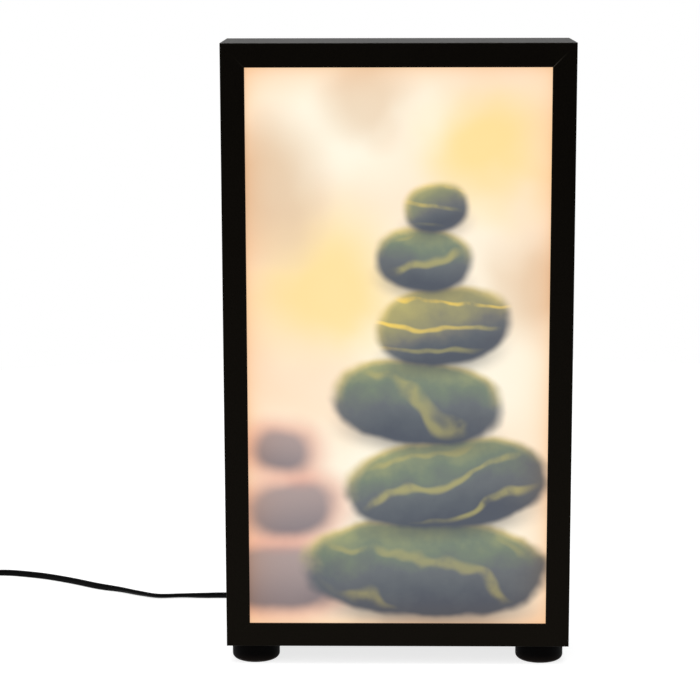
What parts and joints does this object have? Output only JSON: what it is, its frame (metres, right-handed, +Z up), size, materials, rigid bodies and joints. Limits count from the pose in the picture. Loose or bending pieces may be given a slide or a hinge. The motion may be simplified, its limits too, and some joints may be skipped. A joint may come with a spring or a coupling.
{
  "type": "floor lamp",
  "caption": "Free-standing light box floor lamp: a shallow black frame round a glowing picture panel, on round rubber feet, with a flat mains cord, a foot switch and a plug.",
  "frame": {"origin": "on the floor, under the middle of the box", "axes": "+Z up, -Y towards the viewer in front of the glowing panel, +X to that viewer's right"},
  "size_m": [0.7194, 0.3281, 0.5965],
  "materials": {
    "frame_coat": "matte",
    "raw_alloy": "satin",
    "zinc_steel": "satin",
    "glow_panel": "matte",
    "print_film": "matte",
    "opal_sheet": "matte",
    "black_rubber": "matte",
    "white_board": "satin",
    "led_lens": "gloss",
    "wire_insulation": "satin",
    "cord_sheath": "satin",
    "black_plastic": "satin",
    "pin_metal": "polished"
  },
  "bodies": {
    "lamp": {"top_rail": "frame_coat", "bottom_rail": "frame_coat", "left_stile": "frame_coat", "right_stile": "frame_coat", "corner_keys": "raw_alloy", "corner_key_screws": "zinc_steel", "front_panel": "glow_panel", "graphic_film": "print_film", "diffuser_sheet": "opal_sheet", "setting_blocks": "black_rubber", "retainer_top": "black_rubber", "retainer_bottom": "black_rubber", "retainer_left": "black_rubber", "retainer_right": "black_rubber", "reflector_tray": "raw_alloy", "led_bar_1": "white_board", "led_bar_2": "white_board", "led_bar_3": "white_board", "led_bar_4": "white_board", "led_chips": "led_lens", "bar_jumpers": "wire_insulation", "lead_connector": "white_board", "dc_lead": "cord_sheath", "tray_grommet": "black_rubber", "led_driver": "white_board", "terminal_block": "white_board", "input_wires": "wire_insulation", "mains_tail": "cord_sheath", "cord_clamp": "black_plastic", "fixing_screws": "zinc_steel", "fixing_nuts": "zinc_steel", "back_cover": "frame_coat", "back_cover_screws": "zinc_steel", "cord_gland": "black_plastic", "gland_nut": "black_plastic", "foot_front_left": "black_rubber", "foot_front_right": "black_rubber", "foot_rear_left": "black_rubber", "foot_rear_right": "black_rubber", "foot_screws": "zinc_steel", "foot_washers": "zinc_steel", "cord_lamp_side": "cord_sheath", "switch_base": "black_plastic", "switch_cover": "black_plastic", "switch_contacts": "white_board", "switch_leads": "cord_sheath", "switch_spring": "zinc_steel", "switch_screws": "zinc_steel", "cord_plug_side": "cord_sheath", "cord_coil": "cord_sheath", "coil_tie": "black_rubber", "cord_tail": "cord_sheath", "plug_body": "black_plastic", "plug_pins": "pin_metal", "plug_pin_sleeves": "black_plastic"},
    "switch_button": {"switch_button": "black_plastic"}
  },
  "joints": [
    {"name": "switch_press", "type": "slide", "parent": "lamp", "child": "switch_button", "axis": [0, 0, -1], "range_m": [0, 0.003], "stiffness_N_per_m": 400, "deforming": ["switch_spring"]}
  ]
}
